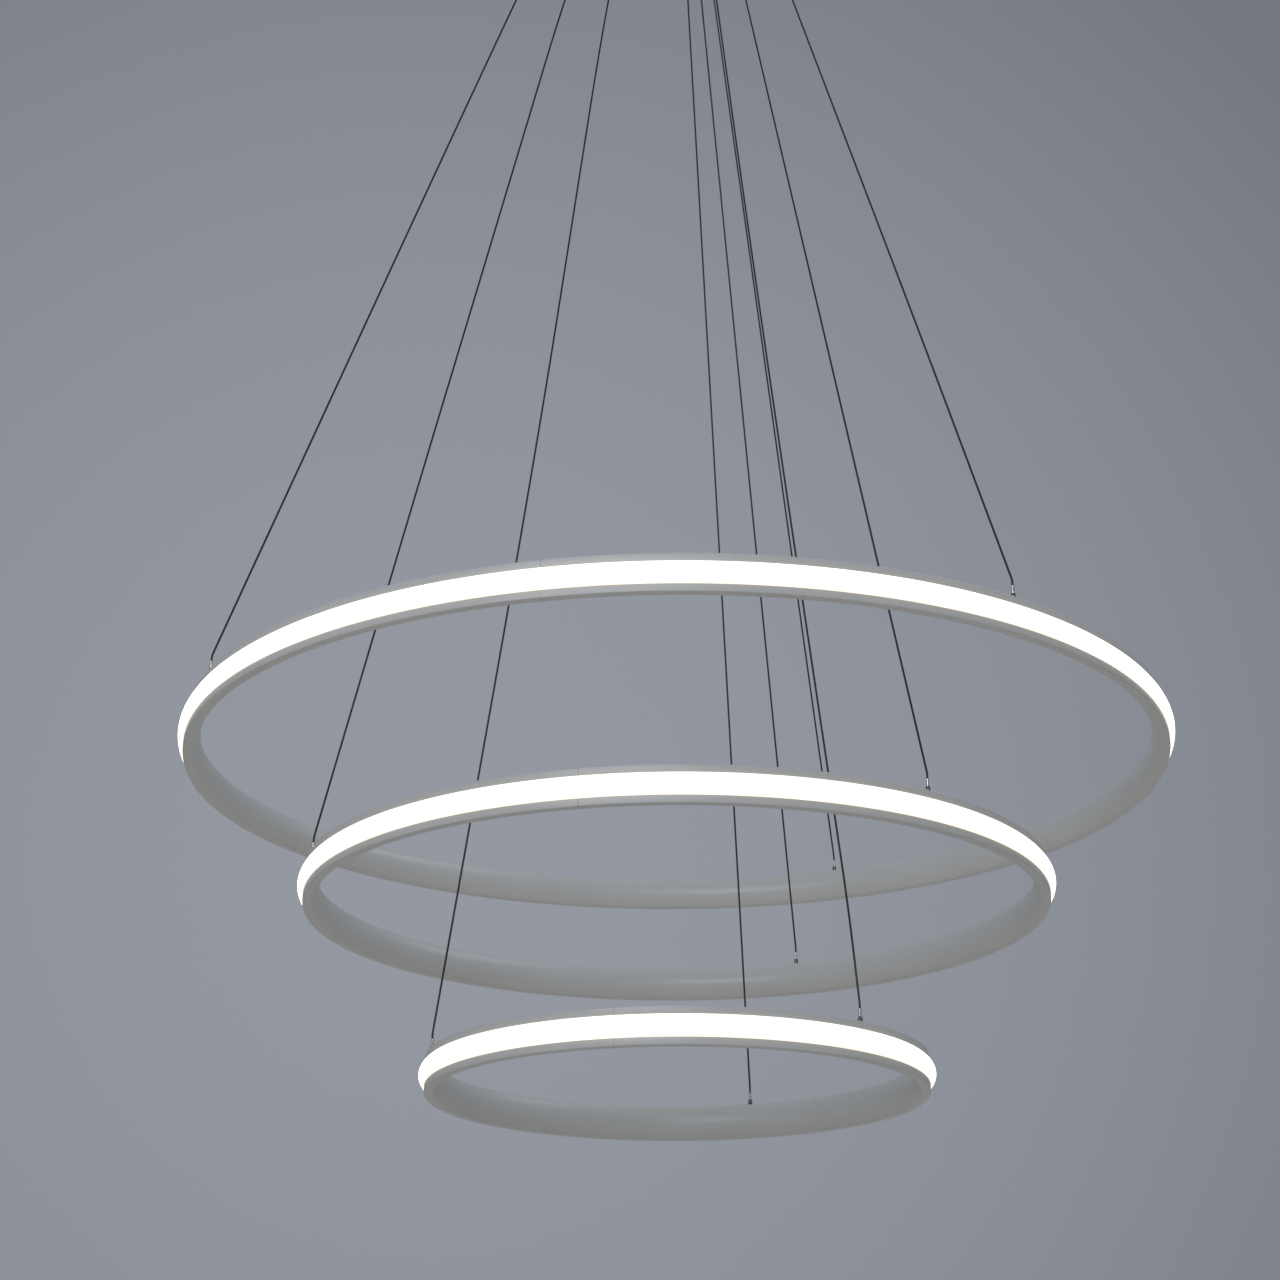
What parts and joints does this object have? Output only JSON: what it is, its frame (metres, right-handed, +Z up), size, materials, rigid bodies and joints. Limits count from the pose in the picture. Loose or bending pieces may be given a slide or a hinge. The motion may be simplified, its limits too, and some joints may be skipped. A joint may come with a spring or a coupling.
{
  "type": "led ring chandelier",
  "caption": "Tiered pendant lamp of level glowing rings, each hung on thin cords from grippers in a round ceiling canopy.",
  "frame": {"origin": "centre of the ceiling plate's upper face, at its ring of ceiling screw holes", "axes": "+Z up into the ceiling; +X to the right and +Y away from the viewer of the front view; the lamp hangs towards -Z"},
  "size_m": [0.8, 0.8, 1.199],
  "materials": {
    "silver_paint": "satin silver-grey powder paint",
    "opal_cover": "opal acrylic, lit from inside",
    "bare_aluminium": "mill finish",
    "led_tape": "white flexible circuit under a yellow phosphor bead",
    "dark_steel": "black oxide",
    "dark_nickel": "dark nickel plate",
    "bright_nickel": "bright nickel plate",
    "coated_cord": "stranded steel in a clear coat",
    "zinc_steel": "bright zinc plate",
    "black_rubber": "matte",
    "white_plastic": "fine texture",
    "circuit_board": "solder mask",
    "brass": "turned",
    "lead_jacket": "silicone jacket"
  },
  "bodies": {
    "canopy": {"ceiling_plate": "zinc_steel", "canopy_shell": "silver_paint", "canopy_side_screws": "bright_nickel", "mains_grommet": "black_rubber", "gripper_bodies": "bright_nickel", "gripper_locknuts": "bright_nickel", "cord_tails": "coated_cord", "tail_crimps": "bright_nickel", "driver_case": "white_plastic", "driver_lid": "white_plastic", "driver_board": "circuit_board", "driver_screws": "zinc_steel", "terminal_block": "white_plastic", "terminal_screws": "zinc_steel", "earth_screw": "brass", "mains_leads": "lead_jacket", "output_leads": "lead_jacket", "large_left_cord": "coated_cord", "large_right_cord": "coated_cord", "large_far_cord": "coated_cord", "middle_left_cord": "coated_cord", "middle_right_cord": "coated_cord", "middle_far_cord": "coated_cord", "small_left_cord": "coated_cord", "small_right_cord": "coated_cord", "small_far_cord": "coated_cord"},
    "large_ring": {"large_ring_cord_anchors": "dark_nickel", "large_ring_diffuser": "opal_cover", "large_ring_ferrules": "bright_nickel", "large_ring_housing": "silver_paint", "large_ring_led_carrier": "bare_aluminium", "large_ring_led_tape": "led_tape", "large_ring_set_screws": "dark_steel", "large_ring_splice_bar": "bare_aluminium"},
    "middle_ring": {"middle_ring_cord_anchors": "dark_nickel", "middle_ring_diffuser": "opal_cover", "middle_ring_ferrules": "bright_nickel", "middle_ring_housing": "silver_paint", "middle_ring_led_carrier": "bare_aluminium", "middle_ring_led_tape": "led_tape", "middle_ring_set_screws": "dark_steel", "middle_ring_splice_bar": "bare_aluminium"},
    "small_ring": {"small_ring_cord_anchors": "dark_nickel", "small_ring_diffuser": "opal_cover", "small_ring_ferrules": "bright_nickel", "small_ring_housing": "silver_paint", "small_ring_led_carrier": "bare_aluminium", "small_ring_led_tape": "led_tape", "small_ring_set_screws": "dark_steel", "small_ring_splice_bar": "bare_aluminium"},
    "large_left_plunger": {"large_left_release_plunger": "bright_nickel"},
    "large_right_plunger": {"large_right_release_plunger": "bright_nickel"},
    "large_far_plunger": {"large_far_release_plunger": "bright_nickel"},
    "middle_left_plunger": {"middle_left_release_plunger": "bright_nickel"},
    "middle_right_plunger": {"middle_right_release_plunger": "bright_nickel"},
    "middle_far_plunger": {"middle_far_release_plunger": "bright_nickel"},
    "small_left_plunger": {"small_left_release_plunger": "bright_nickel"},
    "small_right_plunger": {"small_right_release_plunger": "bright_nickel"},
    "small_far_plunger": {"small_far_release_plunger": "bright_nickel"}
  },
  "joints": [
    {"name": "large_ring_lift", "type": "slide", "parent": "canopy", "child": "large_ring", "axis": [0, 0, 1], "range_m": [0, 0.25], "deforming": ["large_left_cord", "large_right_cord", "large_far_cord"]},
    {"name": "middle_ring_lift", "type": "slide", "parent": "canopy", "child": "middle_ring", "axis": [0, 0, 1], "range_m": [0, 0.25], "deforming": ["middle_left_cord", "middle_right_cord", "middle_far_cord"]},
    {"name": "small_ring_lift", "type": "slide", "parent": "canopy", "child": "small_ring", "axis": [0, 0, 1], "range_m": [0, 0.25], "deforming": ["small_left_cord", "small_right_cord", "small_far_cord"]},
    {"name": "large_left_release", "type": "slide", "parent": "canopy", "child": "large_left_plunger", "axis": [0, 0, 1], "range_m": [0, 0.0015], "stiffness_N_per_m": 150, "springref_m": -0.003},
    {"name": "large_right_release", "type": "slide", "parent": "canopy", "child": "large_right_plunger", "axis": [0, 0, 1], "range_m": [0, 0.0015], "stiffness_N_per_m": 150, "springref_m": -0.003},
    {"name": "large_far_release", "type": "slide", "parent": "canopy", "child": "large_far_plunger", "axis": [0, 0, 1], "range_m": [0, 0.0015], "stiffness_N_per_m": 150, "springref_m": -0.003},
    {"name": "middle_left_release", "type": "slide", "parent": "canopy", "child": "middle_left_plunger", "axis": [0, 0, 1], "range_m": [0, 0.0015], "stiffness_N_per_m": 150, "springref_m": -0.003},
    {"name": "middle_right_release", "type": "slide", "parent": "canopy", "child": "middle_right_plunger", "axis": [0, 0, 1], "range_m": [0, 0.0015], "stiffness_N_per_m": 150, "springref_m": -0.003},
    {"name": "middle_far_release", "type": "slide", "parent": "canopy", "child": "middle_far_plunger", "axis": [0, 0, 1], "range_m": [0, 0.0015], "stiffness_N_per_m": 150, "springref_m": -0.003},
    {"name": "small_left_release", "type": "slide", "parent": "canopy", "child": "small_left_plunger", "axis": [0, 0, 1], "range_m": [0, 0.0015], "stiffness_N_per_m": 150, "springref_m": -0.003},
    {"name": "small_right_release", "type": "slide", "parent": "canopy", "child": "small_right_plunger", "axis": [0, 0, 1], "range_m": [0, 0.0015], "stiffness_N_per_m": 150, "springref_m": -0.003},
    {"name": "small_far_release", "type": "slide", "parent": "canopy", "child": "small_far_plunger", "axis": [0, 0, 1], "range_m": [0, 0.0015], "stiffness_N_per_m": 150, "springref_m": -0.003}
  ]
}
